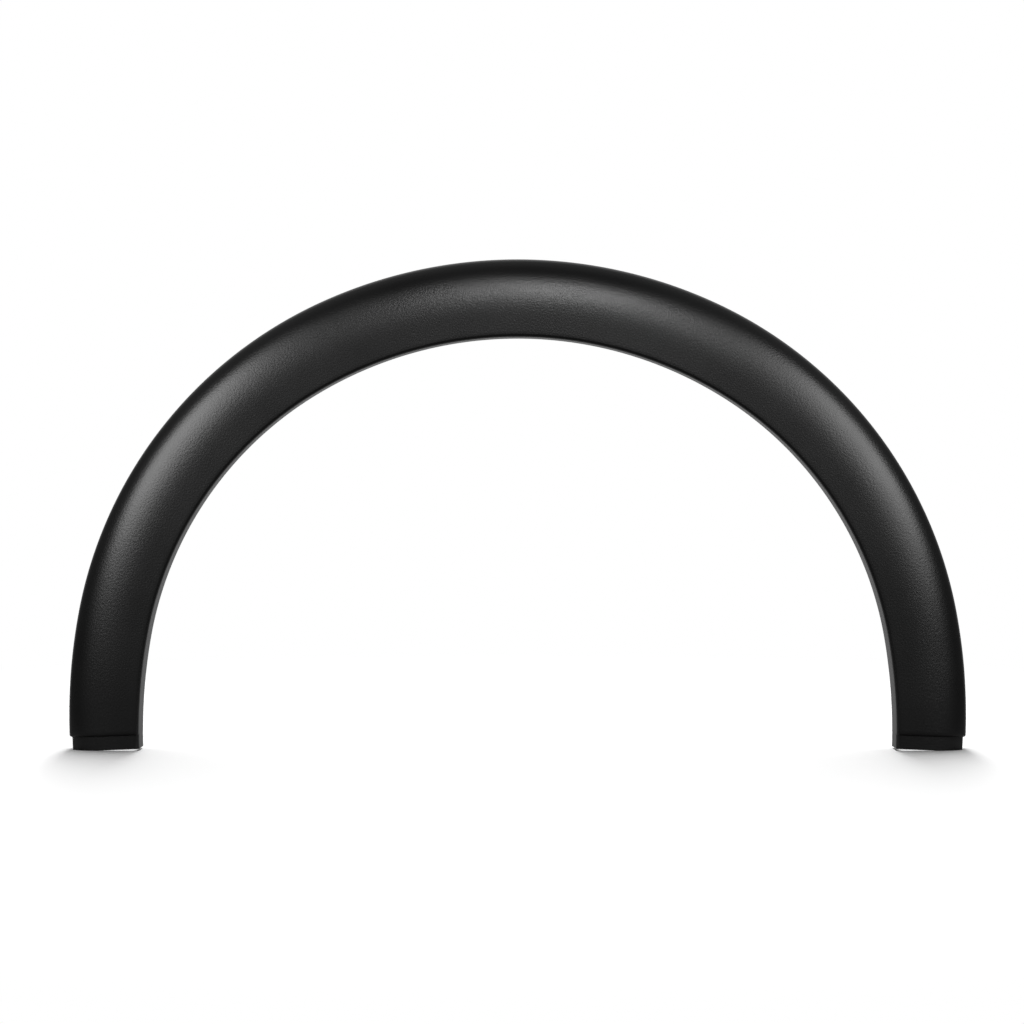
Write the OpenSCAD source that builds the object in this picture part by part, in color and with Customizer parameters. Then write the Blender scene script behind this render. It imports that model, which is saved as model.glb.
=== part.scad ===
// Wheel arch trim: one moulding in black plastic, an open channel that follows the wheel
// opening. Its crowned face narrows from the crown to the legs, a thin lip turns in towards
// the wheel, and each leg ends in a stepped tongue that the next body trim laps over.
// X runs along the arch's span, the face looks towards -Y, and Z = 0 is the floor it stands on.

/* [Arch outline] */
// Overall width, across the outer rim at its widest
overall_w = 852; // [780:2:920]
// Overall height, from the floor to the top of the crown
overall_h = 465; // [430:1:500]
// Height at which the outer rim is widest
spring_h = 31; // [26:1:40]
// Radius of the outer rim down the legs
leg_r = 534; // [490:2:600]
// Half angle of the flatter arc across the crown, at the outer rim
crown_turn = 25; // [22:0.5:28]
// Angle from the top at which the outer rim's shoulder arc meets the leg arc
shoulder_turn = 79; // [76:0.5:82]

/* [Wheel opening] */
// Width of the face at the crown, from the outer rim to the lip
crown_band = 74.3; // [68:0.1:80]
// Width of the face down the legs, between the places where each line is widest
leg_band = 68; // [64:0.5:74]
// Height at which the wheel opening is widest
opening_spring_h = 15; // [12:1:22]
// Radius of the wheel opening down the legs
opening_leg_r = 524; // [480:2:590]
// Half angle of the opening's flatter arc across the crown
opening_crown_turn = 32; // [29:0.5:35]
// Angle from the top at which the opening's shoulder arc meets its leg arc
opening_shoulder_turn = 80; // [77:0.5:83]

/* [Face section] */
// Wall thickness of the moulding
wall = 2.8; // [2.2:0.1:3]
// Depth from the flat of the face back to the outer rim
rim_depth = 32; // [26:0.5:38]
// Radius of the broad crown that rises out of the flat of the face
crown_r = 170; // [140:5:220]
// Tilt of the face where the broad crown ends
crown_tilt = 11; // [9:0.5:13]
// Radius of the tighter crown towards the outer edge
brow_r = 40; // [34:1:50]
// Tilt of the face where the outer edge's rounding starts
brow_tilt = 34; // [30:1:38]
// Rounding of the outer edge
edge_r = 6; // [5.8:0.1:8]
// Draft of the side wall and the lip, in degrees
draft = 1; // [0.5:0.25:2]

/* [Lip] */
// Depth from the flat of the face back to the lip's rear edge
lip_depth = 28; // [22:0.5:34]
// Rounding of the edge between the face and the lip
lip_r = 3.2; // [3:0.1:4]
// Rounding of the lip's rear edge
lip_edge_r = 1; // [0.6:0.1:1.2]

/* [Ends] */
// Height of the face's end above the floor, at its outer corner
face_end_h = 12.2; // [10:0.1:16]
// Slope of the end cut, which rises towards the wheel
end_slope = 2.5; // [1.5:0.25:3.5]
// Length of the tongue past the end of the face
tongue_l = 13.2; // [12:0.1:20]
// Step from the face down to the tongue
tongue_step = 2.5; // [2:0.1:2.6]
// Rounding of the edge between the tongue and the lip
tongue_r = 4; // [3.2:0.1:5]
// Rounding of the face's end edge
end_r = 2.2; // [1.2:0.1:2.4]
// How far the tongue runs up behind the face
tongue_lap = 6; // [4:0.5:12]

/* [Clip seats] */
// Number of pairs of clip seats
seat_pairs = 4; // [2:1:4]
// Angle from the top of the arch to the first pair of clip seats
seat_turn = 13; // [11:0.5:14]
// Angle from one pair of clip seats to the next
seat_pitch = 23; // [20:0.5:23.5]
// Distance of a clip seat's hole from the outer rim
seat_inset = 34; // [30:0.5:38]
// Diameter of the round hole that holds a clip's neck
seat_hole_d = 8; // [6:0.2:10]
// Width of the slot through which the clip slides into the hole
seat_slot_w = 4.6; // [4:0.1:5]
// Width of a clip seat along the arch
seat_w = 26; // [22:1:32]
// Length of a clip seat across the channel
seat_l = 26; // [22:1:30]
// Thickness of a clip seat's walls and top
seat_wall = 2; // [1.6:0.1:2.4]
// Distance of the seats' tops in front of the rim's plane
seat_drop = 2; // [1:0.5:5]

/* [Ribs] */
// Thickness of a cross rib
rib_w = 1.8; // [1.4:0.1:2.4]
// Depth of a cross rib's free edge behind the face, at the middle
rib_depth = 12; // [9:0.5:18]
// How far a rib's ends stay in front of the rims
rib_drop = 8; // [5:0.5:12]

/* [Hidden] */
$fn = 240;
black = [0.085, 0.085, 0.09];
span = 2 * overall_w;
seam = 0.002;
opening_w = overall_w - 2 * leg_band;

// Unit directions: across() in the section for a tilt, around() on the arch for a turn
function across(a) = [sin(a), -cos(a)];
function around(a) = [sin(a), cos(a)];

// Radii of the crown and shoulder arcs that, tangent to each other and to the leg arc,
// reach a given half width and rise
function bend(a, b) = sin(a) * (cos(a) - cos(b)) - (1 - cos(a)) * (sin(b) - sin(a));
function crown_arc_r(dx, dz, a, b) = (dx * (cos(a) - cos(b)) - dz * (sin(b) - sin(a))) / bend(a, b);
function shoulder_arc_r(dx, dz, a, b) = (dz * sin(a) - dx * (1 - cos(a))) / bend(a, b);

// Right half of an arch line as three arcs, each [centre, radius, first turn, last turn]
function arch_line(half_w, top, spring, leg, a, b) =
    let (dx = half_w - leg * (1 - sin(b)), dz = top - spring - leg * cos(b))
    let (r1 = crown_arc_r(dx, dz, a, b), r2 = shoulder_arc_r(dx, dz, a, b))
    let (c1 = [0, top - r1])
    let (c2 = c1 + (r1 - r2) * around(a))
    let (c3 = c2 + (r2 - leg) * around(b))
    [[c1, r1, -a, a], [c2, r2, a, b], [c3, leg, b, 90 + asin((spring + tongue_l) / leg)]];

rim_line = arch_line(overall_w / 2, overall_h, spring_h, leg_r, crown_turn, shoulder_turn);
lip_line = arch_line(opening_w / 2, overall_h - crown_band, opening_spring_h,
    opening_leg_r, opening_crown_turn, opening_shoulder_turn);

// Distance from a point outside an arc's circle to the circle, along a direction
function reach(p, dir, arc) =
    let (d = p - arc[0], b = d * dir)
    -b - sqrt(b * b - d * d + arc[1] * arc[1]);

// Outer corner of the face's end, and the width of the face there
end_turn = 90 + asin((spring_h - face_end_h) / leg_r);
end_corner = rim_line[2][0] + leg_r * around(end_turn);
end_band = reach(end_corner, [-cos(end_slope), sin(end_slope)], lip_line[2]);

// Section of the face: x is outwards from the rim, y is the depth behind the flat.
// Three tangent arcs join the flat to the side wall.
crown_c = [0, crown_r];
brow_c = crown_c + (crown_r - brow_r) * across(crown_tilt);
edge_c = brow_c + (brow_r - edge_r) * across(brow_tilt);
edge_end = edge_c + edge_r * across(90 - draft);
flat_start = edge_end.x + (rim_depth - edge_end.y) * tan(draft);
face_reach = crown_band + wall;

// Points along an arc of the section; the first is left out where another arc ends on it
function turned(c, r, a, b, n, first = 0) =
    [for (i = [first:n]) c + r * across(a + (b - a) * i / n)];
function face_line(inset) = concat(
    [[-inset / cos(draft), rim_depth]],
    turned(edge_c - [flat_start, 0], edge_r - inset, 90 - draft, brow_tilt, 9),
    turned(brow_c - [flat_start, 0], brow_r - inset, brow_tilt, crown_tilt, 6, 1),
    turned(crown_c - [flat_start, 0], crown_r - inset, crown_tilt, 0, 5, 1));

// The same line for the end edge, a hair short of the rim and with corners of its own, so
// that none meets a corner of the sweeps it joins
end_ledge = 0.05;
function end_line(inset) = concat(
    [[-inset / cos(draft), rim_depth - end_ledge]],
    turned(edge_c - [flat_start, 0], edge_r - inset, 88 - draft, brow_tilt + 1.5, 8),
    turned(brow_c - [flat_start, 0], brow_r - inset, brow_tilt - 1.5, crown_tilt + 1, 5),
    turned(crown_c - [flat_start, 0], crown_r - inset, crown_tilt - 1, 0.5, 4));
function back(list) = [for (i = [len(list) - 1:-1:0]) list[i]];

module face_section(inset) {
    polygon(concat(face_line(inset), [[-face_reach, inset], [-face_reach, inset + wall]],
        back(face_line(inset + wall))));
}

// Section of the lip: x is outwards from the wheel opening, y is the depth behind the flat
lip_stub = lip_r + 2 * wall;
function lip_x(inset, depth, c) = c.x - (c.x - inset + (depth - c.y) * sin(draft)) / cos(draft);
module lip_section(step, r) {
    corner = [r, step + r];
    rear = lip_depth - lip_edge_r;
    polygon(concat(
        [[lip_stub, step]],
        turned(corner, r, 0, draft - 90, 8),
        turned([lip_x(lip_edge_r, rear, corner), rear], lip_edge_r, draft - 90, -180, 4),
        [[lip_x(wall, lip_depth, corner), lip_depth]],
        turned(corner, max(r - wall, 0.1), draft - 90, 0, 4),
        [[lip_stub, step + wall]]));
}

// Sweeps a section round one arc, and along a whole arch line from leg to leg. Each arc
// starts a hair early, so that neighbours overlap where they meet.
module along(arc) {
    translate([arc[0].x, 0, arc[0].y]) rotate([-90, 0, 0])
        rotate_extrude(angle = arc[3] - arc[2] + seam, start = arc[2] - 90 - seam)
            translate([arc[1], 0]) children();
}
module both_sides() {
    for (side = [0, 1]) mirror([side, 0, 0]) children();
}
module swept(line) {
    along(line[0]) children();
    both_sides() {
        along(line[1]) children();
        along(line[2]) children();
    }
}

// Everything on the wheel's side of a line that runs a set distance outside the opening
module wheel_side(gap) {
    swept(lip_line) translate([gap - opening_w / 6, -wall])
        square([opening_w / 6, rim_depth + 2 * wall]);
}

// Local frame of the cut across a leg's end: x outwards, y back, z up along the leg
module at_end() {
    translate([end_corner.x, 0, end_corner.y]) rotate([0, end_slope, 0]) children();
}

// The slab between two cuts square to the leg, by their distances below the face's end
module end_slab(from, to) {
    at_end() translate([-span / 4, -span / 2, -to]) cube([span / 2, span, to - from]);
}

// The crowned face, swept along the rim and trimmed to the opening, with the lip on it
module face_shell() {
    difference() {
        union() {
            difference() {
                swept(rim_line) face_section(0);
                wheel_side(lip_stub - wall);
            }
            swept(lip_line) lip_section(0, lip_r);
        }
        both_sides() end_slab(-end_r, span);
    }
}

// The rounded edge that closes the face's end: stations down the leg, each with the line
// of the face at its own inset, and the line down the middle of the tongue's wall
end_steps = 4;
end_stations = concat([[end_r + wall / 4, end_ledge]],
    [for (i = [0:end_steps]) let (a = 90 * i / end_steps, r = end_r - end_ledge)
        [r * (1 - sin(a)), end_ledge + r * (1 - cos(a))]]);
function end_outer(inset) = concat(end_line(inset), [for (a = [0:-15:-75])
    [lip_r - end_band, lip_r] + (lip_r - inset * cos(a)) * across(a)]);
end_inner = concat(end_line(tongue_step + wall / 2),
    turned([tongue_r - end_band, tongue_step + tongue_r], tongue_r - wall / 2, 0, -90, 5));
module end_edge() {
    m = len(end_inner);
    n = 2 * m;
    last = len(end_stations) - 1;
    at_end() polyhedron(
        [for (s = end_stations) each
            [for (p = concat(end_outer(s[1]), end_inner)) [p.x, p.y, s[0]]]],
        concat(
            [for (i = [0:m - 2]) [i, i + 1, m + i + 1, m + i]],
            [for (i = [0:m - 2]) let (j = last * n + i) [j, j + m, j + m + 1, j + 1]],
            [for (k = [0:last - 1], i = [0:m - 2])
                [k * n + i, (k + 1) * n + i, (k + 1) * n + i + 1, k * n + i + 1]],
            [for (k = [0:last - 1], i = [m:n - 2])
                [k * n + i, k * n + i + 1, (k + 1) * n + i + 1, (k + 1) * n + i]],
            [for (k = [0:last - 1]) [k * n, k * n + m, (k + 1) * n + m, (k + 1) * n]],
            [for (k = [0:last - 1])
                [k * n + m - 1, (k + 1) * n + m - 1, (k + 1) * n + n - 1, k * n + n - 1]]));
}

// The tongue: the same channel a step further in, flush with the face only on the lip
module tongue() {
    intersection() {
        difference() {
            along(rim_line[2]) face_section(tongue_step);
            wheel_side(lip_stub - wall);
        }
        end_slab(-end_r - tongue_lap, tongue_l);
    }
    intersection() {
        along(lip_line[2]) lip_section(tongue_step, tongue_r);
        end_slab(-end_r, tongue_l);
    }
}

// Local frame at a turn from the top: x outwards from the rim, y back, z along the arch
function arc_at(turn) = rim_line[turn < crown_turn ? 0 : turn < shoulder_turn ? 1 : 2];
module at_turn(turn) {
    arc = arc_at(turn);
    translate([arc[0].x, 0, arc[0].y]) rotate([0, turn - 90, 0])
        translate([arc[1], 0, 0]) children();
}

// Outline that stands on the middle of the face's wall between two places in the section
mid_wall = face_line(wall / 2);
function on_wall(x0, x1, n) = [for (i = [0:n]) let (x = x0 + (x1 - x0) * i / n) [x, lookup(x, mid_wall)]];

// A clip seat: a box open towards the wheel, whose top holds a clip's neck
module clip_seat() {
    x0 = -seat_inset - seat_l / 2;
    x1 = -seat_inset + seat_l / 2;
    top = rim_depth - seat_drop;
    difference() {
        linear_extrude(seat_w, center = true)
            polygon(concat(on_wall(x0, x1, 8), [[x1, top], [x0, top]]));
        translate([x0 - seat_wall, -wall, seat_wall - seat_w / 2])
            cube([seat_l, top - seat_wall + wall, seat_w - 2 * seat_wall]);
        translate([-seat_inset, top - 2 * seat_wall, 0]) rotate([-90, 0, 0])
            cylinder(d = seat_hole_d, h = 3 * seat_wall);
        translate([x0 - seat_wall, top - 2 * seat_wall, -seat_slot_w / 2])
            cube([seat_l / 2 + seat_wall, 3 * seat_wall, seat_slot_w]);
    }
}

// A cross rib from the side wall to the lip, its free edge scooped out
module cross_rib() {
    wide = face_reach - wall / 2;
    scoop = [for (i = [0:12]) let (u = i / 6 - 1)
        [-wall / 2 - wide * i / 12,
            rib_depth + ((u < 0 ? rim_depth : lip_depth) - rib_drop - rib_depth) * u * u]];
    linear_extrude(rib_w, center = true)
        polygon(concat(scoop, [[-face_reach, wall / 2]],
            back([for (p = mid_wall) if (p.y < rim_depth - rib_drop) p])));
}

module ribs() {
    difference() {
        union() {
            at_turn(0) cross_rib();
            both_sides() for (i = [0:seat_pairs - 2])
                at_turn(seat_turn + (i + 0.5) * seat_pitch) cross_rib();
        }
        wheel_side(wall / 2);
    }
}

// The whole moulding, centred on its depth, with the tongues' lowest corners cut level so
// that it stands
module arch_trim() {
    color(black) translate([0, -rim_depth / 2, 0]) difference() {
        union() {
            face_shell();
            ribs();
            both_sides() {
                end_edge();
                tongue();
                for (i = [0:seat_pairs - 1]) at_turn(seat_turn + i * seat_pitch) clip_seat();
            }
        }
        translate([-span / 2, -span / 2, -span]) cube(span);
    }
}

arch_trim();
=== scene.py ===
# Black moulded wheel arch trim, standing on its two ends on a white studio floor.
# The shell is swept by Geometry Nodes: a section drawn as points is carried along two arch
# lines, one for the outer rim and one for the wheel opening, so the face narrows between them.
import math

import bmesh
import bpy
from mathutils import Matrix, Vector


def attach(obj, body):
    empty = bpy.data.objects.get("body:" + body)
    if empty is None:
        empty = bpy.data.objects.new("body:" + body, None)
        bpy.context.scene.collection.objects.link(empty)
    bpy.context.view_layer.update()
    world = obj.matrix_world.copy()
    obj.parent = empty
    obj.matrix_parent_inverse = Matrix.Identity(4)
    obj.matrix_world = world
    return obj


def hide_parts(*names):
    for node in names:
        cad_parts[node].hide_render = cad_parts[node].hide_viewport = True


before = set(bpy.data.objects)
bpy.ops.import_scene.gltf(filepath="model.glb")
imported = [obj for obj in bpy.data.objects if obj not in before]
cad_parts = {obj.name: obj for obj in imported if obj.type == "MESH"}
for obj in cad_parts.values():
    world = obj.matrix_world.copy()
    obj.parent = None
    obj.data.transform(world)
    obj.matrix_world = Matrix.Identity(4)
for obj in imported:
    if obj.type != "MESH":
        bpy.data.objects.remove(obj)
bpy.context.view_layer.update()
mm = 0.001

# Sizes of the trim in millimetres and degrees, as in the part's source
trim = {
    "rim": {"halfWidth": 426.0, "top": 464.9, "spring": 31.0, "legRadius": 534.0,
            "crownTurn": 25.0, "shoulderTurn": 79.0},
    "lip": {"halfWidth": 358.0, "top": 390.7, "spring": 15.0, "legRadius": 524.0,
            "crownTurn": 32.0, "shoulderTurn": 80.0},
    "wall": 2.8, "rimDepth": 32.0, "crownRadius": 170.0, "crownTilt": 11.0,
    "browRadius": 40.0, "browTilt": 34.0, "edgeRadius": 6.0, "draft": 1.0,
    "softening": 8.0, "edgeSoftening": 0.8,
    "lipDepth": 28.0, "lipRadius": 3.2, "lipEdge": 1.0,
    "endHeight": 12.2, "endSlope": 2.5, "endRound": 2.2,
    "tongueLength": 13.2, "tongueStep": 2.5, "tongueRadius": 4.0, "tongueLap": 6.0,
    "rimEdge": 0.5, "endBlend": 90.0, "edgeRounding": 0.35,
}
seat = {
    "pairs": 4, "firstTurn": 13.0, "pitch": 23.0, "inset": 34.0, "width": 26.0, "length": 26.0,
    "wall": 2.0, "drop": 2.0, "holeDiameter": 8.0, "slotWidth": 4.6,
}
rib = {"thickness": 1.8, "depth": 12.0, "drop": 8.0}
# How finely the shapes are cut: spacings in millimetres with counts, angles in degrees
detail = {
    "edgeColumns": (0.5, 14), "browColumns": (1.3, 13), "crownColumns": (2.8, 12),
    "flatColumns": (0.5, 2.5, 5), "faceSteps": 400, "tiltSamples": 20, "lipSteps": 10,
    "lipEdgeSteps": 6, "stationStep": 3.0, "meanRadius": 430.0, "endStations": 27,
    "endSteps": 7, "ribSteps": 6, "holeSides": 48, "sharpAngle": 35, "bevelAngle": 50,
    "mergeDistance": 0.02, "cleanDistance": 0.002,
}


def sinDeg(a):
    return math.sin(math.radians(a))


def cosDeg(a):
    return math.cos(math.radians(a))


def across(a):
    return Vector((sinDeg(a), -cosDeg(a)))


def archArcs(line):
    # the three arcs of one arch line's right half: centre, radius, last turn
    a, b, leg = line["crownTurn"], line["shoulderTurn"], line["legRadius"]
    dx = line["halfWidth"] - leg * (1 - sinDeg(b))
    dz = line["top"] - line["spring"] - leg * cosDeg(b)
    bend = sinDeg(a) * (cosDeg(a) - cosDeg(b)) - (1 - cosDeg(a)) * (sinDeg(b) - sinDeg(a))
    crown = (dx * (cosDeg(a) - cosDeg(b)) - dz * (sinDeg(b) - sinDeg(a))) / bend
    shoulder = (dz * sinDeg(a) - dx * (1 - cosDeg(a))) / bend
    crownCentre = Vector((0, line["top"] - crown))
    shoulderCentre = crownCentre + (crown - shoulder) * Vector((sinDeg(a), cosDeg(a)))
    legCentre = shoulderCentre + (shoulder - leg) * Vector((sinDeg(b), cosDeg(b)))
    return [(crownCentre, crown, a), (shoulderCentre, shoulder, b), (legCentre, leg, 180)]


# ---- Geometry Nodes helpers: a socket that can be added, multiplied and so on
class Field:
    def __init__(self, tree, socket):
        self.tree, self.socket = tree, socket

    def maths(self, operation, *others):
        return mathsNode(self.tree, operation, self, *others)

    def __add__(self, other):
        return self.maths("ADD", other)

    def __radd__(self, other):
        return self.maths("ADD", other)

    def __sub__(self, other):
        return self.maths("SUBTRACT", other)

    def __rsub__(self, other):
        return mathsNode(self.tree, "SUBTRACT", other, self)

    def __mul__(self, other):
        return self.maths("MULTIPLY", other)

    def __rmul__(self, other):
        return self.maths("MULTIPLY", other)

    def __truediv__(self, other):
        return self.maths("DIVIDE", other)


def plug(tree, value, socket):
    if isinstance(value, Field):
        tree.links.new(value.socket, socket)
    elif value is not None:
        socket.default_value = value


def mathsNode(tree, operation, *values):
    node = tree.nodes.new("ShaderNodeMath")
    node.operation = operation
    for i, value in enumerate(values):
        plug(tree, value, node.inputs[i])
    return Field(tree, node.outputs[0])


def vectorNode(tree, operation, a, b=None, scale=None):
    node = tree.nodes.new("ShaderNodeVectorMath")
    node.operation = operation
    plug(tree, a, node.inputs[0])
    plug(tree, b, node.inputs[1])
    if scale is not None:
        plug(tree, scale, node.inputs["Scale"])
    return Field(tree, node.outputs["Vector"])


def newNode(tree, kind, inputs=None, output=0, **settings):
    node = tree.nodes.new(kind)
    for name, value in settings.items():
        setattr(node, name, value)
    for name, value in (inputs or {}).items():
        plug(tree, value, node.inputs[name])
    return Field(tree, node.outputs[output])


def combine(tree, x, y, z):
    return newNode(tree, "ShaderNodeCombineXYZ", {"X": x, "Y": y, "Z": z})


def separate(tree, vector):
    node = tree.nodes.new("ShaderNodeSeparateXYZ")
    plug(tree, vector, node.inputs[0])
    return [Field(tree, node.outputs[i]) for i in range(3)]


def newTree(name, inputs, outputs=(("Geometry", "Geometry"),)):
    tree = bpy.data.node_groups.new(name, "GeometryNodeTree")
    for label, kind in inputs:
        tree.interface.new_socket(label, in_out="INPUT", socket_type="NodeSocket" + kind)
    for label, kind in outputs:
        tree.interface.new_socket(label, in_out="OUTPUT", socket_type="NodeSocket" + kind)
    source = tree.nodes.new("NodeGroupInput")
    return tree, {label: Field(tree, source.outputs[label]) for label, kind in inputs}


def finishTree(tree, results):
    sink = tree.nodes.new("NodeGroupOutput")
    for label, value in results.items():
        plug(tree, value, sink.inputs[label])
    return tree


lineInputs = [("Half Width", "halfWidth"), ("Top", "top"), ("Spring", "spring"),
              ("Leg Radius", "legRadius"), ("Crown Turn", "crownTurn"),
              ("Shoulder Turn", "shoulderTurn")]


def makeArchLineGroup():
    # centre and radius of the arc that an arch line follows at a turn from the top
    tree, given = newTree(
        "archLine", [("Turn", "Float")] + [(label, "Float") for label, key in lineInputs],
        (("Centre", "Vector"), ("Radius", "Float")))
    a, b = given["Crown Turn"], given["Shoulder Turn"]
    sinA, cosA, sinB, cosB = (a.maths("SINE"), a.maths("COSINE"), b.maths("SINE"),
                              b.maths("COSINE"))
    leg = given["Leg Radius"]
    dx = given["Half Width"] - leg * (1 - sinB)
    dz = given["Top"] - given["Spring"] - leg * cosB
    bend = sinA * (cosA - cosB) - (1 - cosA) * (sinB - sinA)
    crown = (dx * (cosA - cosB) - dz * (sinB - sinA)) / bend
    shoulder = (dz * sinA - dx * (1 - cosA)) / bend
    crownZ = given["Top"] - crown
    shoulderX = (crown - shoulder) * sinA
    shoulderZ = crownZ + (crown - shoulder) * cosA
    legX = shoulderX + (shoulder - leg) * sinB
    legZ = shoulderZ + (shoulder - leg) * cosB
    turn = given["Turn"].maths("ABSOLUTE")
    pastCrown = turn.maths("GREATER_THAN", a)
    pastShoulder = turn.maths("GREATER_THAN", b)

    def pick(onCrown, onShoulder, onLeg):
        return (onCrown * (1 - pastCrown) + onShoulder * (pastCrown - pastShoulder)
                + onLeg * pastShoulder)

    side = given["Turn"].maths("SIGN")
    centreX = (shoulderX * (pastCrown - pastShoulder) + legX * pastShoulder) * side
    return finishTree(tree, {"Centre": combine(tree, centreX, 0, pick(crownZ, shoulderZ, legZ)),
                             "Radius": pick(crown, shoulder, leg)})


def archPoint(tree, given, line, turn, outward=0.0, shear=0.0):
    # a point at a distance outwards from an arch line, slid along the line by the shear
    node = tree.nodes.new("GeometryNodeGroup")
    node.node_tree = archLineGroup
    plug(tree, turn, node.inputs["Turn"])
    for label, key in lineInputs:
        plug(tree, given[f"{line} {label}"], node.inputs[label])
    centre, radius = Field(tree, node.outputs["Centre"]), Field(tree, node.outputs["Radius"])
    sine, cosine = turn.maths("SINE"), turn.maths("COSINE")
    normal = combine(tree, sine, 0, cosine)
    tangent = combine(tree, cosine, 0, sine * -1)
    point = vectorNode(tree, "ADD", centre, vectorNode(tree, "SCALE", normal,
                                                       scale=radius + outward))
    if isinstance(shear, Field):
        point = vectorNode(tree, "ADD", point,
                           vectorNode(tree, "SCALE", tangent, scale=shear * outward))
    return point


def bothLines():
    return [(f"{line} {label}", "Float") for line in ("Rim", "Lip") for label, key in lineInputs]


def setInputs(modifier, values):
    sockets = {s.name: s.identifier for s in modifier.node_group.interface.items_tree
               if s.in_out == "INPUT"}
    for name, value in values.items():
        modifier[sockets[name]] = value


def lineValues():
    values = {}
    for line in ("Rim", "Lip"):
        for label, key in lineInputs:
            size = trim[line.lower()][key]
            values[f"{line} {label}"] = (math.radians(size) if key.endswith("Turn")
                                         else size * mm)
    return values


def named(tree, name, kind="FLOAT"):
    return newNode(tree, "GeometryNodeInputNamedAttribute", {"Name": name}, "Attribute",
                   data_type=kind)


def sampled(tree, geometry, name, index, kind="FLOAT"):
    return newNode(tree, "GeometryNodeSampleIndex",
                   {"Geometry": geometry, "Value": named(tree, name, kind), "Index": index},
                   "Value", data_type=kind, domain="POINT")


def smoothByAngle(tree, geometry, limit):
    smooth = newNode(tree, "GeometryNodeSetShadeSmooth",
                     {"Geometry": geometry, "Shade Smooth": True}, domain="FACE")
    angle = newNode(tree, "GeometryNodeInputMeshEdgeAngle", output="Unsigned Angle")
    sharp = angle.maths("GREATER_THAN", math.radians(limit))
    return newNode(tree, "GeometryNodeSetShadeSmooth",
                   {"Geometry": smooth, "Selection": sharp, "Shade Smooth": False},
                   domain="EDGE")


def closeTree(tree, geometry, material):
    real = newNode(tree, "GeometryNodeRealizeInstances", {"Geometry": geometry})
    painted = newNode(tree, "GeometryNodeSetMaterial", {"Geometry": real, "Material": material})
    return finishTree(tree, {"Geometry": painted})


def pointObject(name, rows):
    # an object of loose points whose attributes a tree reads by index
    mesh = bpy.data.meshes.new(name)
    mesh.from_pydata([(0, 0, 0)] * len(rows), [], [])
    for key, value in rows[0].items():
        vector = isinstance(value, Vector)
        attribute = mesh.attributes.new(key, "FLOAT_VECTOR" if vector else "FLOAT", "POINT")
        if vector:
            attribute.data.foreach_set("vector", [c for row in rows
                                                  for c in (row[key].x, row[key].y, 0)])
        else:
            attribute.data.foreach_set("value", [row[key] for row in rows])
    result = bpy.data.objects.new(name, mesh)
    bpy.context.scene.collection.objects.link(result)
    return result


# ---- The section: pairs of outer and inner points, on the face and on the tongue
def faceLengths():
    # lengths along the face, from the start of its flat outwards, where its arcs meet
    crown = trim["crownRadius"] * math.radians(trim["crownTilt"])
    brow = crown + trim["browRadius"] * math.radians(trim["browTilt"] - trim["crownTilt"])
    edge = brow + trim["edgeRadius"] * math.radians(90 - trim["draft"] - trim["browTilt"])
    return crown, brow, edge


def faceTilt(length):
    crown, brow, edge = faceLengths()
    knots = [(0, 0), (crown, trim["crownTilt"]), (brow, trim["browTilt"]),
             (edge, 90 - trim["draft"])]
    if length <= 0:
        return 0
    for (start, low), (end, high) in zip(knots, knots[1:]):
        if length < end:
            return low + (high - low) * (length - start) / (end - start)
    return knots[-1][1]


def softTilt(length):
    # the same, averaged over a stretch, so that the arcs run into each other without a step
    brow = faceLengths()[1]
    reach = min(trim["softening"], max(trim["edgeSoftening"], brow - length))
    half = detail["tiltSamples"]
    samples = [faceTilt(length + reach * i / half) for i in range(-half, half + 1)]
    return sum(samples) / len(samples)


def facePoints():
    # points and tilts along the face, from the side wall to the flat
    crown, brow, edge = faceLengths()
    first, last, fine = -trim["softening"], edge + trim["edgeSoftening"], detail["faceSteps"]
    run, points = (last - first) / fine, [Vector((0, 0))]
    for i in range(fine):
        points.append(points[-1] + run * across(softTilt(first + run * (i + 0.5)) + 90))
    crownCentre = Vector((0, trim["crownRadius"]))
    browCentre = crownCentre + (trim["crownRadius"] - trim["browRadius"]) * across(
        trim["crownTilt"])
    edgeCentre = browCentre + (trim["browRadius"] - trim["edgeRadius"]) * across(
        trim["browTilt"])
    edgeEnd = edgeCentre + trim["edgeRadius"] * across(90 - trim["draft"])
    wallEnd = edgeEnd + trim["edgeSoftening"] * across(180 - trim["draft"])
    flatStart = edgeEnd.x + (trim["rimDepth"] - edgeEnd.y) * math.tan(
        math.radians(trim["draft"]))
    start, miss = Vector((first, 0)), wallEnd - points[-1] - Vector((first, 0))
    lengths = [first] + [-length for length in detail["flatColumns"]]
    for begin, (pitch, count) in ((last, detail["edgeColumns"]), (brow, detail["browColumns"]),
                                  (crown, detail["crownColumns"])):
        lengths += [begin - pitch * i for i in range(count)]
    result = []
    for length in sorted(set(lengths), reverse=True):
        i = (length - first) / (last - first)
        k = min(int(i * fine), fine - 1)
        point = points[k].lerp(points[k + 1], i * fine - k) + start + miss * i * i
        result.append((point - Vector((flatStart, 0)), softTilt(length)))
    return result


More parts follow.
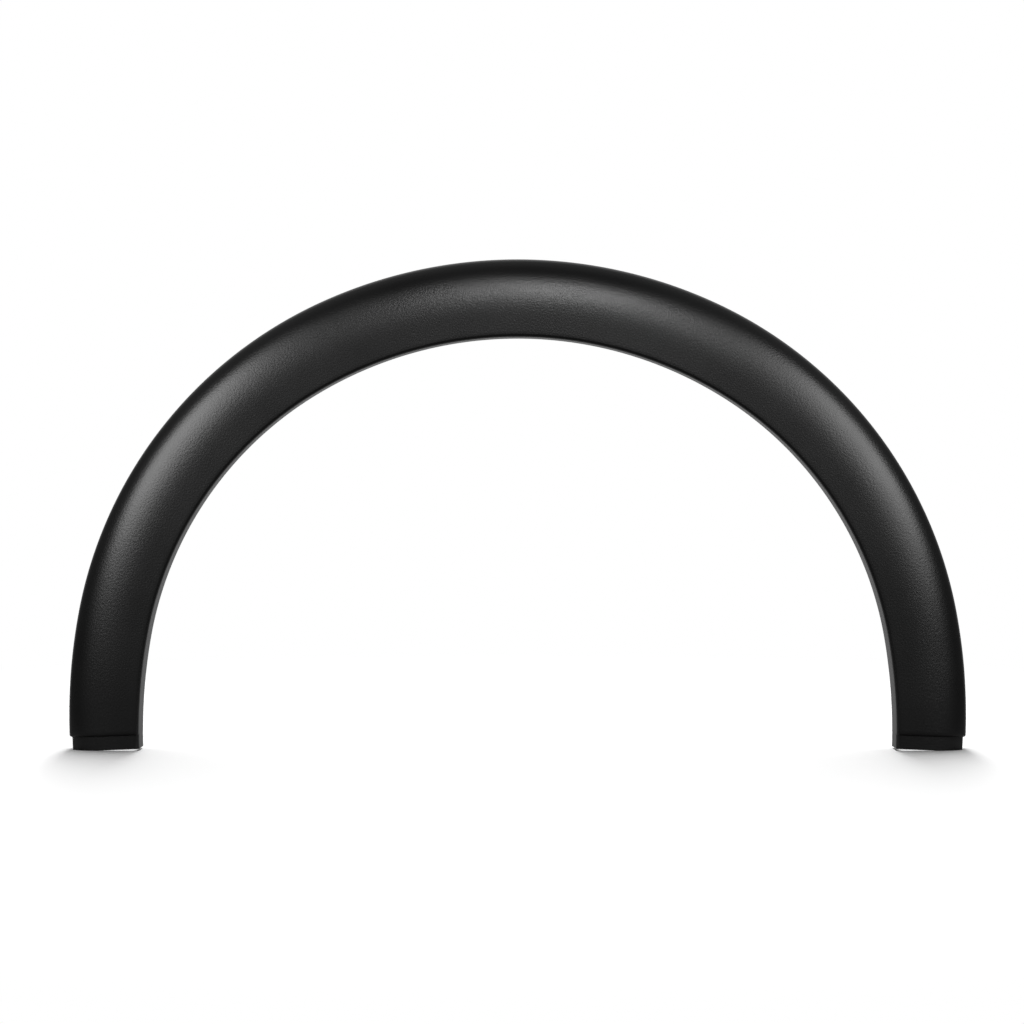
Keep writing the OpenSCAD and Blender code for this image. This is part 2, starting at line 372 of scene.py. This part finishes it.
def sectionPairs():
    wall, draft, step = trim["wall"], trim["draft"], trim["tongueStep"]
    pairs = []

    def addPair(onLip, outer, inner, tongueOuter, tongueInner, inward):
        pairs.append({"onLip": onLip, "outer": outer, "inner": inner,
                      "tongueOuter": tongueOuter, "tongueInner": tongueInner,
                      "inward": inward})

    def sideWall(depth, tuck):
        x = -(trim["rimDepth"] - depth) * math.tan(math.radians(draft))
        slant = 1 / cosDeg(draft)
        addPair(0.0, Vector((x - tuck, depth)), Vector((x - wall * slant + tuck, depth)),
                Vector((x - step * slant - tuck, depth)),
                Vector((x - (step + wall) * slant + tuck, depth)), Vector((-slant, 0)))

    edge = trim["rimEdge"]
    for a in (0, 30, 60, 90):
        sideWall(trim["rimDepth"] - edge * (1 - cosDeg(a)), edge * (1 - sinDeg(a)))
    sideWall(24, 0)
    sideWall(18, 0)
    for outer, tilt in facePoints():
        inward = -across(tilt)
        addPair(0.0, outer, outer + wall * inward, outer + step * inward,
                outer + (step + wall) * inward, inward)

    lipCentre = Vector((trim["lipRadius"], trim["lipRadius"]))
    tongueCentre = Vector((trim["tongueRadius"], step + trim["tongueRadius"]))

    def lipX(inset, depth, centre):
        return centre.x - (centre.x - inset + (depth - centre.y) * sinDeg(draft)) / cosDeg(draft)

    def lipPair(outer, inner, tongueOuter, tongueInner, inward):
        addPair(1.0, outer, inner, tongueOuter, tongueInner, inward)

    lipPair(Vector((6, 0)), Vector((6, wall)), Vector((6, step)), Vector((6, step + wall)),
            Vector((0, 1)))
    for i in range(detail["lipSteps"] + 1):
        a = (draft - 90) * i / detail["lipSteps"]
        lipPair(lipCentre + trim["lipRadius"] * across(a),
                lipCentre + (trim["lipRadius"] - wall) * across(a),
                tongueCentre + trim["tongueRadius"] * across(a),
                tongueCentre + (trim["tongueRadius"] - wall) * across(a),
                -cosDeg(a) * across(a))
    rear = trim["lipDepth"] - trim["lipEdge"]
    for depth in (12, 18, 24, rear):
        lipPair(Vector((lipX(0, depth, lipCentre), depth)),
                Vector((lipX(wall, depth, lipCentre), depth)),
                Vector((lipX(0, depth, tongueCentre), depth)),
                Vector((lipX(wall, depth, tongueCentre), depth)), Vector((0, 0)))
    faceTurn = Vector((lipX(trim["lipEdge"], rear, lipCentre), rear))
    tongueTurn = Vector((lipX(trim["lipEdge"], rear, tongueCentre), rear))
    for i in range(1, detail["lipEdgeSteps"] + 1):
        share = i / detail["lipEdgeSteps"]
        a = draft - 90 - (90 + draft) * share
        depth = rear + trim["lipEdge"] * share
        lipPair(faceTurn + trim["lipEdge"] * across(a),
                Vector((lipX(wall, depth, lipCentre), depth)),
                tongueTurn + trim["lipEdge"] * across(a),
                Vector((lipX(wall, depth, tongueCentre), depth)), Vector((0, 0)))
    return pairs


def sectionRows():
    pairs = sectionPairs()
    rows = []
    for p in pairs:
        middle = (p["tongueOuter"] + p["tongueInner"]) / 2
        rows.append({"onLip": p["onLip"], "isInner": 0.0, "place": p["outer"] * mm,
                     "inward": p["inward"], "tonguePlace": p["tongueOuter"] * mm,
                     "middle": middle * mm})
    for p in reversed(pairs):
        middle = (p["tongueOuter"] + p["tongueInner"]) / 2
        rows.append({"onLip": p["onLip"], "isInner": 1.0, "place": p["inner"] * mm,
                     "inward": Vector((0, 0)), "tonguePlace": p["tongueInner"] * mm,
                     "middle": middle * mm})
    return rows


# ---- The stations along the arch, from one tongue's end over the crown to the other's
def crossingTurn(start, direction, line):
    # turn of the arch line where a straight line from a point outside meets it
    for centre, radius, last in archArcs(line):
        d = start - centre
        b = d.dot(direction)
        distance = -b - math.sqrt(b * b - d.dot(d) + radius * radius)
        hit = start + distance * direction - centre
        turn = math.degrees(math.atan2(hit.x, hit.y))
        if turn <= last:
            return turn
    return turn


def stationRows():
    rim, lip, slope = trim["rim"], trim["lip"], trim["endSlope"]
    legCentre, legRadius, _ = archArcs(rim)[2]
    endTurn = 90 + math.degrees(math.asin((rim["spring"] - trim["endHeight"]) / legRadius))
    corner = legCentre + legRadius * Vector((sinDeg(endTurn), cosDeg(endTurn)))
    lipEnd = crossingTurn(corner, Vector((-cosDeg(slope), sinDeg(slope))), lip)
    blend, lap = trim["endBlend"], trim["endRound"] + trim["tongueLap"]

    def endRow(height, inset=0.0, stepOuter=0.0, stepInner=0.0, collapse=0.0):
        share = max(0.0, 1 - max(height, 0) / blend)
        share = share * share * (3 - 2 * share)
        rimTurn = endTurn - math.degrees(height / rim["legRadius"])
        lipTurn = lipEnd - math.degrees(height / lip["legRadius"])
        return {"rimTurn": rimTurn, "lipTurn": lipTurn,
                "rimShear": share * math.tan(math.radians(slope + 90 - rimTurn)),
                "lipShear": share * math.tan(math.radians(slope + 90 - lipTurn)),
                "inset": inset * mm, "stepOuter": stepOuter, "stepInner": stepInner,
                "collapse": collapse}

    right = []
    top = endRow(blend)
    length = math.radians(top["rimTurn"]) * detail["meanRadius"]
    count = 2 * round(length / detail["stationStep"] / 2)
    for i in range(count + 1):
        share = i / count
        row = endRow(blend)
        row["rimTurn"], row["lipTurn"] = top["rimTurn"] * share, top["lipTurn"] * share
        right.append(row)
    for i in range(1, detail["endStations"] + 1):
        right.append(endRow(blend + (lap - blend) * i / detail["endStations"]))
    right.append(endRow(lap, stepInner=1.0))
    right.append(endRow(lap - 3, stepInner=1.0))
    for i in range(detail["endSteps"] + 1):
        a = 90 * i / detail["endSteps"]
        right.append(endRow(trim["endRound"] * (1 - sinDeg(a)),
                            trim["endRound"] * (1 - cosDeg(a)), stepInner=1.0))
    for height in (0, -0.5, -4, -8, -12.7, -trim["tongueLength"]):
        right.append(endRow(height, stepOuter=1.0, stepInner=1.0))
    right.append(endRow(-trim["tongueLength"], stepOuter=1.0, stepInner=1.0, collapse=1.0))

    rows = []
    for row in reversed(right[1:]):
        left = dict(row)
        for key in ("rimTurn", "lipTurn", "rimShear", "lipShear"):
            left[key] = -left[key]
        rows.append(left)
    rows += right
    for row in rows:
        row["rimTurn"] = math.radians(row["rimTurn"])
        row["lipTurn"] = math.radians(row["lipTurn"])
    return rows


def makeShellTree():
    tree, given = newTree("archShell", [("Geometry", "Geometry"), ("Section", "Object"),
                                        ("Material", "Material"), ("Front", "Float")]
                          + bothLines())
    section = newNode(tree, "GeometryNodeObjectInfo", {"Object": given["Section"]}, "Geometry")
    stations = given["Geometry"]
    sectionCount = newNode(tree, "GeometryNodeAttributeDomainSize", {"Geometry": section},
                           "Point Count")
    stationCount = newNode(tree, "GeometryNodeAttributeDomainSize", {"Geometry": stations},
                           "Point Count")
    columns = sectionCount + 1
    grid = newNode(tree, "GeometryNodeMeshGrid",
                   {"Size X": 1.0, "Size Y": 1.0, "Vertices X": stationCount,
                    "Vertices Y": columns}, "Mesh")
    index = newNode(tree, "GeometryNodeInputIndex")
    i = ((index + 0.5) / columns).maths("FLOOR")
    j = (index - i * columns).maths("FLOORED_MODULO", sectionCount)

    def station(name):
        return sampled(tree, stations, name, i)

    def point(name, kind="FLOAT"):
        return sampled(tree, section, name, j, kind)

    onFace = vectorNode(tree, "ADD", point("place", "FLOAT_VECTOR"),
                        vectorNode(tree, "SCALE", point("inward", "FLOAT_VECTOR"),
                                   scale=station("inset")))
    isInner = point("isInner")
    step = station("stepOuter") * (1 - isInner) + station("stepInner") * isInner

    def mix(factor, a, b):
        return vectorNode(tree, "ADD", a, vectorNode(
            tree, "SCALE", vectorNode(tree, "SUBTRACT", b, a), scale=factor))

    place = mix(step, onFace, point("tonguePlace", "FLOAT_VECTOR"))
    place = mix(station("collapse"), place, point("middle", "FLOAT_VECTOR"))
    outward, depth, _ = separate(tree, place)
    onRim = archPoint(tree, given, "Rim", station("rimTurn"), outward, station("rimShear"))
    onLip = archPoint(tree, given, "Lip", station("lipTurn"), outward, station("lipShear"))
    x, _, z = separate(tree, mix(point("onLip"), onRim, onLip))
    position = combine(tree, x, depth + given["Front"], z.maths("MAXIMUM", 0.0))
    placed = newNode(tree, "GeometryNodeSetPosition", {"Geometry": grid, "Position": position})
    merged = newNode(tree, "GeometryNodeMergeByDistance", {
        "Geometry": placed, "Distance": detail["mergeDistance"] * mm})
    outwards = newNode(tree, "GeometryNodeFlipFaces", {"Mesh": merged})
    shaded = smoothByAngle(tree, outwards, detail["sharpAngle"])
    return closeTree(tree, shaded, given["Material"])


def bake(source, name):
    # the modifier's result as a plain mesh object; the source goes
    evaluated = source.evaluated_get(bpy.context.evaluated_depsgraph_get())
    mesh = bpy.data.meshes.new_from_object(evaluated)
    mesh.name = name
    cleaner = bmesh.new()
    cleaner.from_mesh(mesh)
    bmesh.ops.dissolve_degenerate(cleaner, dist=detail["cleanDistance"] * mm,
                                  edges=cleaner.edges)
    cleaner.to_mesh(mesh)
    cleaner.free()
    result = bpy.data.objects.new(name, mesh)
    bpy.context.scene.collection.objects.link(result)
    bpy.data.objects.remove(source)
    return result


def makeShell(material):
    sectionObject = pointObject("trimSection", sectionRows())
    stationObject = pointObject("trimStations", stationRows())
    modifier = stationObject.modifiers.new("archShell", "NODES")
    modifier.node_group = makeShellTree()
    setInputs(modifier, {"Section": sectionObject, "Material": material,
                         "Front": -trim["rimDepth"] / 2 * mm, **lineValues()})
    shell = bake(stationObject, "archTrim")
    bpy.data.objects.remove(sectionObject)
    return shell


# ---- Clip seats and cross ribs behind the face
def midDepth(x):
    # depth of the middle of the face's wall at a distance x outwards from the rim
    middles = [(p["outer"] + p["inner"]) / 2 for p in sectionPairs() if not p["onLip"]]
    for a, b in zip(middles, middles[1:]):
        if b.x <= x <= a.x:
            return a.y + (b.y - a.y) * (x - a.x) / (b.x - a.x)
    return trim["wall"] / 2


def box(tree, size, centre):
    cube = newNode(tree, "GeometryNodeMeshCube", {"Size": size}, "Mesh")
    return newNode(tree, "GeometryNodeTransform", {"Geometry": cube, "Translation": centre})


def join(tree, *parts):
    node = tree.nodes.new("GeometryNodeJoinGeometry")
    for part in reversed(parts):
        tree.links.new(part.socket, node.inputs[0])
    return Field(tree, node.outputs[0])


def pairTurn(tree, index, first, pitch):
    # turns that alternate between the right and the left half, a pair at a time
    side = 1 - 2 * index.maths("FLOORED_MODULO", 2)
    return side * (first + (index / 2).maths("FLOOR") * pitch)


def makeSeatTree():
    tree, given = newTree("clipSeats", [
        ("Geometry", "Geometry"), ("Material", "Material"), ("Pairs", "Int"),
        ("First Turn", "Float"), ("Pitch", "Float"), ("Inset", "Float"), ("Width", "Float"),
        ("Length", "Float"), ("Wall", "Float"), ("Top", "Float"), ("Hole", "Float"),
        ("Slot", "Float"), ("Foot Outer", "Float"), ("Foot Inner", "Float"),
        ("Front", "Float")] + bothLines())
    length, width, wall, top = (given["Length"], given["Width"], given["Wall"], given["Top"])
    middle = given["Inset"] * -1
    block = box(tree, combine(tree, length, top, width), combine(tree, middle, top / 2, 0))
    x, y, z = separate(tree, newNode(tree, "GeometryNodeInputPosition"))
    foot = (given["Foot Inner"] + (given["Foot Outer"] - given["Foot Inner"])
            * ((x - middle) / length + 0.5))
    block = newNode(tree, "GeometryNodeSetPosition", {
        "Geometry": block, "Selection": y.maths("LESS_THAN", 0.0001),
        "Position": combine(tree, x, foot, z)})
    inside = box(tree, combine(tree, length, top, width - wall * 2),
                 combine(tree, middle - wall, top / 2 - wall, 0))
    bore = newNode(tree, "GeometryNodeMeshCylinder", {
        "Vertices": detail["holeSides"], "Radius": given["Hole"] / 2, "Depth": wall * 3}, "Mesh")
    bore = newNode(tree, "GeometryNodeTransform", {
        "Geometry": bore, "Translation": combine(tree, middle, top - wall / 2, 0),
        "Rotation": (math.pi / 2, 0, 0)})
    slot = box(tree, combine(tree, length / 2 + wall, wall * 3, given["Slot"]),
               combine(tree, middle - length / 4 - wall / 2, top - wall / 2, 0))
    cut = tree.nodes.new("GeometryNodeMeshBoolean")
    cut.operation, cut.solver = "DIFFERENCE", "EXACT"
    plug(tree, block, cut.inputs["Mesh 1"])
    plug(tree, join(tree, inside, bore, slot), cut.inputs["Mesh 2"])
    cut.inputs["Self Intersection"].default_value = True
    index = newNode(tree, "GeometryNodeInputIndex")
    turn = pairTurn(tree, index, given["First Turn"], given["Pitch"])
    place = archPoint(tree, given, "Rim", turn)
    points = newNode(tree, "GeometryNodePoints", {
        "Count": given["Pairs"] * 2,
        "Position": vectorNode(tree, "ADD", place, combine(tree, 0, given["Front"], 0))},
        "Points")
    seats = newNode(tree, "GeometryNodeInstanceOnPoints", {
        "Points": points, "Instance": Field(tree, cut.outputs["Mesh"]),
        "Rotation": combine(tree, 0, turn - math.pi / 2, 0)}, "Instances")
    return closeTree(tree, seats, given["Material"])


def makeSeats(material):
    source = pointObject("seatSource", [{"onLip": 0.0}])
    modifier = source.modifiers.new("clipSeats", "NODES")
    modifier.node_group = makeSeatTree()
    half = seat["length"] / 2
    setInputs(modifier, {
        "Material": material, "Pairs": seat["pairs"],
        "First Turn": math.radians(seat["firstTurn"]), "Pitch": math.radians(seat["pitch"]),
        "Inset": seat["inset"] * mm, "Width": seat["width"] * mm,
        "Length": seat["length"] * mm, "Wall": seat["wall"] * mm,
        "Top": (trim["rimDepth"] - seat["drop"]) * mm, "Hole": seat["holeDiameter"] * mm,
        "Slot": seat["slotWidth"] * mm, "Foot Outer": midDepth(half - seat["inset"]) * mm,
        "Foot Inner": midDepth(-half - seat["inset"]) * mm,
        "Front": -trim["rimDepth"] / 2 * mm, **lineValues()})
    bevelEdges(source)
    return bake(source, "clipSeats")


def bevelEdges(piece):
    # the small rounding that every moulded edge has
    bevel = piece.modifiers.new("edgeRounding", "BEVEL")
    bevel.width, bevel.segments = trim["edgeRounding"] * mm, 2
    bevel.limit_method, bevel.angle_limit = "ANGLE", math.radians(detail["bevelAngle"])
    bevel.use_clamp_overlap = True


def ribRows():
    # columns across a rib: its foot inside the wall, its free edge, its share from the lip
    wall, band = trim["wall"], trim["rim"]["top"] - trim["lip"]["top"]
    wide = band + wall / 2
    deepest = trim["rimDepth"] - rib["drop"]
    middles = [(p["outer"] + p["inner"]) / 2 for p in sectionPairs() if not p["onLip"]]
    columns = [m for m in middles if m.y < deepest][::3]
    last = columns[-1]
    for i in range(1, detail["ribSteps"] + 1):
        x = last.x + (wall / 2 - band - last.x) * i / detail["ribSteps"]
        columns.append(Vector((x, wall / 2)))
    rows = []
    for place in columns:
        u = (-place.x - wall / 2) / wide * 2 - 1
        end = trim["rimDepth"] if u < 0 else trim["lipDepth"]
        free = rib["depth"] + (end - rib["drop"] - rib["depth"]) * u * u
        share = max(0.0, (last.x - place.x) / (last.x - wall / 2 + band))
        rows.append({"share": share, "foot": place * mm,
                     "free": Vector((place.x, max(free, place.y))) * mm})
    return rows


def makeRibTree():
    tree, given = newTree("crossRibs", [
        ("Geometry", "Geometry"), ("Material", "Material"), ("Count", "Int"),
        ("First Turn", "Float"), ("Pitch", "Float"), ("Thickness", "Float"),
        ("Band", "Float"), ("Front", "Float")] + bothLines())
    columns = newNode(tree, "GeometryNodeAttributeDomainSize",
                      {"Geometry": given["Geometry"]}, "Point Count")
    slab = newNode(tree, "GeometryNodeMeshCube", {
        "Size": (1, 1, 1), "Vertices X": columns, "Vertices Y": 2, "Vertices Z": 2}, "Mesh")
    index = newNode(tree, "GeometryNodeInputIndex")
    turn = pairTurn(tree, index - 1, given["First Turn"], given["Pitch"])
    turn = turn * index.maths("GREATER_THAN", 0.5)
    points = newNode(tree, "GeometryNodePoints", {"Count": given["Count"]}, "Points")
    slabs = newNode(tree, "GeometryNodeInstanceOnPoints",
                    {"Points": points, "Instance": slab}, "Instances")
    slabs = newNode(tree, "GeometryNodeStoreNamedAttribute",
                    {"Geometry": slabs, "Name": "turn", "Value": turn},
                    data_type="FLOAT", domain="INSTANCE")
    slabs = newNode(tree, "GeometryNodeRealizeInstances", {"Geometry": slabs})
    x, y, z = separate(tree, newNode(tree, "GeometryNodeInputPosition"))
    column = ((x + 0.5) * (columns - 1)).maths("ROUND")

    def read(name, kind="FLOAT"):
        return sampled(tree, given["Geometry"], name, column, kind)

    foot, free, share = (read("foot", "FLOAT_VECTOR"), read("free", "FLOAT_VECTOR"),
                         read("share"))
    place = vectorNode(tree, "ADD", foot, vectorNode(
        tree, "SCALE", vectorNode(tree, "SUBTRACT", free, foot), scale=y + 0.5))
    outward, depth, _ = separate(tree, place)
    ribTurn = named(tree, "turn")
    onRim = archPoint(tree, given, "Rim", ribTurn, outward)
    onLip = archPoint(tree, given, "Lip", ribTurn, outward + given["Band"])
    level = vectorNode(tree, "ADD", onRim, vectorNode(
        tree, "SCALE", vectorNode(tree, "SUBTRACT", onLip, onRim), scale=share))
    along = z * given["Thickness"]
    sideways = combine(tree, ribTurn.maths("COSINE") * along, depth + given["Front"],
                       ribTurn.maths("SINE") * along * -1)
    placed = newNode(tree, "GeometryNodeSetPosition", {
        "Geometry": slabs, "Position": vectorNode(tree, "ADD", level, sideways)})
    return closeTree(tree, placed, given["Material"])


def makeRibs(material):
    source = pointObject("ribColumns", ribRows())
    modifier = source.modifiers.new("crossRibs", "NODES")
    modifier.node_group = makeRibTree()
    setInputs(modifier, {
        "Material": material, "Count": 2 * seat["pairs"] - 1,
        "First Turn": math.radians(seat["firstTurn"] + seat["pitch"] / 2),
        "Pitch": math.radians(seat["pitch"]), "Thickness": rib["thickness"] * mm,
        "Band": (trim["rim"]["top"] - trim["lip"]["top"]) * mm,
        "Front": -trim["rimDepth"] / 2 * mm, **lineValues()})
    bevelEdges(source)
    return bake(source, "crossRibs")


# ---- Materials
def rampNode(tree, source, low, high, toLow, toHigh):
    node = tree.nodes.new("ShaderNodeMapRange")
    node.interpolation_type = "SMOOTHSTEP"
    for name, value in (("From Min", low), ("From Max", high), ("To Min", toLow),
                        ("To Max", toHigh)):
        node.inputs[name].default_value = value
    tree.links.new(source, node.inputs["Value"])
    return node.outputs["Result"]


def shaderMaths(tree, operation, a, b):
    node = tree.nodes.new("ShaderNodeMath")
    node.operation = operation
    for i, value in enumerate((a, b)):
        if isinstance(value, (int, float)):
            node.inputs[i].default_value = value
        else:
            tree.links.new(value, node.inputs[i])
    return node.outputs[0]


grain = {"colour": (0.003, 0.003, 0.0031, 1), "roughness": 0.3, "roughnessSpread": 0.012,
         "size": 0.0016, "depth": 0.00006, "patchSize": 0.06}


def makePlastic():
    # moulded grain that sparkles in the highlights, and slow changes of gloss
    material = bpy.data.materials.new("grainedBlackPlastic")
    material.use_nodes = True
    tree = material.node_tree
    shader = tree.nodes["Principled BSDF"]
    shader.inputs["Base Color"].default_value = grain["colour"]
    coordinates = tree.nodes.new("ShaderNodeTexCoord")

    def noise(size, detail):
        node = tree.nodes.new("ShaderNodeTexNoise")
        node.inputs["Scale"].default_value = 1 / size
        node.inputs["Detail"].default_value = detail
        tree.links.new(coordinates.outputs["Object"], node.inputs["Vector"])
        return node.outputs["Fac"]

    bump = tree.nodes.new("ShaderNodeBump")
    bump.inputs["Distance"].default_value = grain["depth"]
    tree.links.new(noise(grain["size"], 0), bump.inputs["Height"])
    tree.links.new(bump.outputs["Normal"], shader.inputs["Normal"])
    patches = rampNode(tree, noise(grain["patchSize"], 3), 0.3, 0.7,
                       grain["roughness"] - grain["roughnessSpread"],
                       grain["roughness"] + grain["roughnessSpread"])
    tree.links.new(patches, shader.inputs["Roughness"])
    return material


# ---- Stage: floor, world, lamps and camera
studio = {
    # the floor's colours for rays from the trim are painted shade in front of it and painted
    # light behind it
    "floorColour": 0.8, "paintedFrontShade": 0.05, "paintedBackLight": 0.25, "floorSize": 40.0,
    "fadeStart": 0.62, "fadeEnd": 1.1, "backGlow": 0.5, "roomGlow": 0.002, "frontGlow": 0.22,
    "skyGlow": 0.75,
    # where each brightness begins and ends: places on the floor, or directions in the world
    "paintedShadeSpread": (-0.1, 0.02), "wallSpread": (-0.8, 0.6), "frontSpread": (-0.85, -0.97),
    "skyRise": (0.3, 1), "skySpread": (-0.9, 0.4),
}
# Softboxes in front light the face; a strip far behind and a ceiling light the floor alone.
# place and size in metres, aim as a turn and an inset on the trim's face, glow against white
lamps = {
    "leftSoftbox": {"place": (-0.846, -1.034, 0.579), "turn": -50, "inset": 19,
                    "size": (0.526, 0.480), "glow": 8.15},
    "topStrip": {"place": (0.115, -1.542, 0.916), "turn": 8, "inset": 28,
                 "size": (0.508, 0.136), "glow": 21.2},
    "rightSoftbox": {"place": (1.033, -1.300, 0.666), "turn": 52, "inset": 19,
                     "size": (0.654, 0.644), "glow": 6.85},
    "backStrip": {"place": (0, 3.75, 6.0), "turn": 0, "inset": 464,
                  "size": (1.4, 8.6), "glow": 14.5, "floorOnly": True},
    "ceiling": {"place": (0, 0, 3.0), "turn": 0, "inset": 464,
                "size": (9.0, 9.0), "glow": 0.2, "floorOnly": True},
}


def rimPlace(turn, inset):
    for centre, radius, last in archArcs(trim["rim"]):
        if abs(turn) <= last:
            break
    point = centre + (radius - inset) * Vector((sinDeg(abs(turn)), cosDeg(turn)))
    return Vector((math.copysign(point.x, turn), -trim["rimDepth"] / 2, point.y)) * mm


def makeLamps():
    floorLight, trimLight = [bpy.data.collections.new(n) for n in ("floorLight", "trimLight")]
    for group in (floorLight, trimLight):
        group.objects.link(bpy.data.objects["floor"])
    trimLight.collection_objects[0].light_linking.link_state = "EXCLUDE"
    for name, lamp in lamps.items():
        light = bpy.data.lights.new(name, "AREA")
        light.shape = "RECTANGLE"
        light.size, light.size_y = lamp["size"]
        light.energy = lamp["glow"] * math.pi * light.size * light.size_y
        fitting = bpy.data.objects.new(name, light)
        bpy.context.scene.collection.objects.link(fitting)
        place = Vector(lamp["place"])
        backwards = (place - rimPlace(lamp["turn"], lamp["inset"])).normalized()
        outward = Vector((sinDeg(lamp["turn"]), 0, cosDeg(lamp["turn"])))
        up = (outward - outward.dot(backwards) * backwards).normalized()
        turned = Matrix((up.cross(backwards), up, backwards)).transposed().to_4x4()
        fitting.matrix_world = Matrix.Translation(place) @ turned
        fitting.visible_camera = False
        fitting.light_linking.receiver_collection = (floorLight if lamp.get("floorOnly")
                                                     else trimLight)


def makeFloor():
    # white floor that fades into the white background away from the trim; to rays from the trim
    # its colour is painted shade in front of the trim and painted light behind it
    half = studio["floorSize"] / 2
    mesh = bpy.data.meshes.new("floor")
    mesh.from_pydata([(-half, -half, 0), (half, -half, 0), (half, half, 0), (-half, half, 0)],
                     [], [(0, 1, 2, 3)])
    floor = bpy.data.objects.new("floor", mesh)
    bpy.context.scene.collection.objects.link(floor)
    material = bpy.data.materials.new("whiteFloor")
    material.use_nodes = True
    tree = material.node_tree
    shader = tree.nodes["Principled BSDF"]
    shader.inputs["Roughness"].default_value = 0.9
    shader.inputs["Specular IOR Level"].default_value = 0.0
    coordinates = tree.nodes.new("ShaderNodeTexCoord")
    distance = tree.nodes.new("ShaderNodeVectorMath")
    distance.operation = "LENGTH"
    tree.links.new(coordinates.outputs["Object"], distance.inputs[0])
    faded = rampNode(tree, distance.outputs["Value"], studio["fadeStart"], studio["fadeEnd"],
                     0, 1)
    path = tree.nodes.new("ShaderNodeLightPath")
    axes = tree.nodes.new("ShaderNodeSeparateXYZ")
    tree.links.new(coordinates.outputs["Object"], axes.inputs[0])
    # painted shade and light: to rays from the trim the floor is dark in front of it and lighter
    # behind it, whatever the lamps do
    paintedFloorShade = rampNode(tree, axes.outputs["Y"], *studio["paintedShadeSpread"],
                      studio["paintedFrontShade"], studio["paintedBackLight"])
    seen = rampNode(tree, path.outputs["Is Camera Ray"], 0, 1, 0, studio["floorColour"])
    tree.links.new(shaderMaths(tree, "MAXIMUM", paintedFloorShade, seen), shader.inputs["Base Color"])
    glow = tree.nodes.new("ShaderNodeEmission")
    mixed = tree.nodes.new("ShaderNodeMixShader")
    tree.links.new(shaderMaths(tree, "MULTIPLY", faded, path.outputs["Is Camera Ray"]),
                   mixed.inputs[0])
    tree.links.new(shader.outputs[0], mixed.inputs[1])
    tree.links.new(glow.outputs[0], mixed.inputs[2])
    tree.links.new(mixed.outputs[0], tree.nodes["Material Output"].inputs["Surface"])
    floor.data.materials.append(material)


def makeWorld():
    # white to the camera; to the trim, a bright wall behind it, a bright ceiling, a dark room
    world = bpy.data.worlds.new("studio")
    bpy.context.scene.world = world
    world.use_nodes = True
    tree = world.node_tree
    background = tree.nodes["Background"]
    background.inputs["Color"].default_value = (1, 1, 1, 1)
    coordinates = tree.nodes.new("ShaderNodeTexCoord")
    axes = tree.nodes.new("ShaderNodeSeparateXYZ")
    tree.links.new(coordinates.outputs["Generated"], axes.inputs[0])
    wall = rampNode(tree, axes.outputs["Y"], *studio["wallSpread"], studio["roomGlow"],
                    studio["backGlow"])
    front = rampNode(tree, axes.outputs["Y"], *studio["frontSpread"], 0, studio["frontGlow"])
    high = rampNode(tree, axes.outputs["Z"], *studio["skyRise"], 0, 1)
    ceiling = rampNode(tree, axes.outputs["Y"], *studio["skySpread"], 0, studio["skyGlow"])
    sky = shaderMaths(tree, "MULTIPLY", high, ceiling)
    path = tree.nodes.new("ShaderNodeLightPath")
    glow = shaderMaths(tree, "ADD", shaderMaths(tree, "ADD", wall, front), sky)
    tree.links.new(shaderMaths(tree, "MAXIMUM", glow, path.outputs["Is Camera Ray"]),
                   background.inputs["Strength"])


view = {"x": -5.35, "distance": 2300.0, "height": 279.7, "focalPixels": 2443.0,
        "pitch": 1.337}


def makeCamera():
    data = bpy.data.cameras.new("camera")
    data.sensor_width = 36
    data.lens = view["focalPixels"] / 1024 * 36
    data.clip_end = 100
    camera = bpy.data.objects.new("camera", data)
    bpy.context.scene.collection.objects.link(camera)
    camera.location = (view["x"] * mm, -(view["distance"] + trim["rimDepth"] / 2) * mm,
                       view["height"] * mm)
    camera.rotation_euler = (math.radians(90 - view["pitch"]), 0, 0)
    bpy.context.scene.camera = camera


bpy.context.scene.view_settings.view_transform = "Standard"
makeCamera()
makeFloor()
makeWorld()
makeLamps()
print("camera, stage and lamps made")
archLineGroup = makeArchLineGroup()
plastic = makePlastic()
for make in (makeShell, makeSeats, makeRibs):
    piece = make(plastic)
    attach(piece, "root")
    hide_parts("arch_trim")
    print(piece.name, "made:", len(piece.data.polygons), "faces")
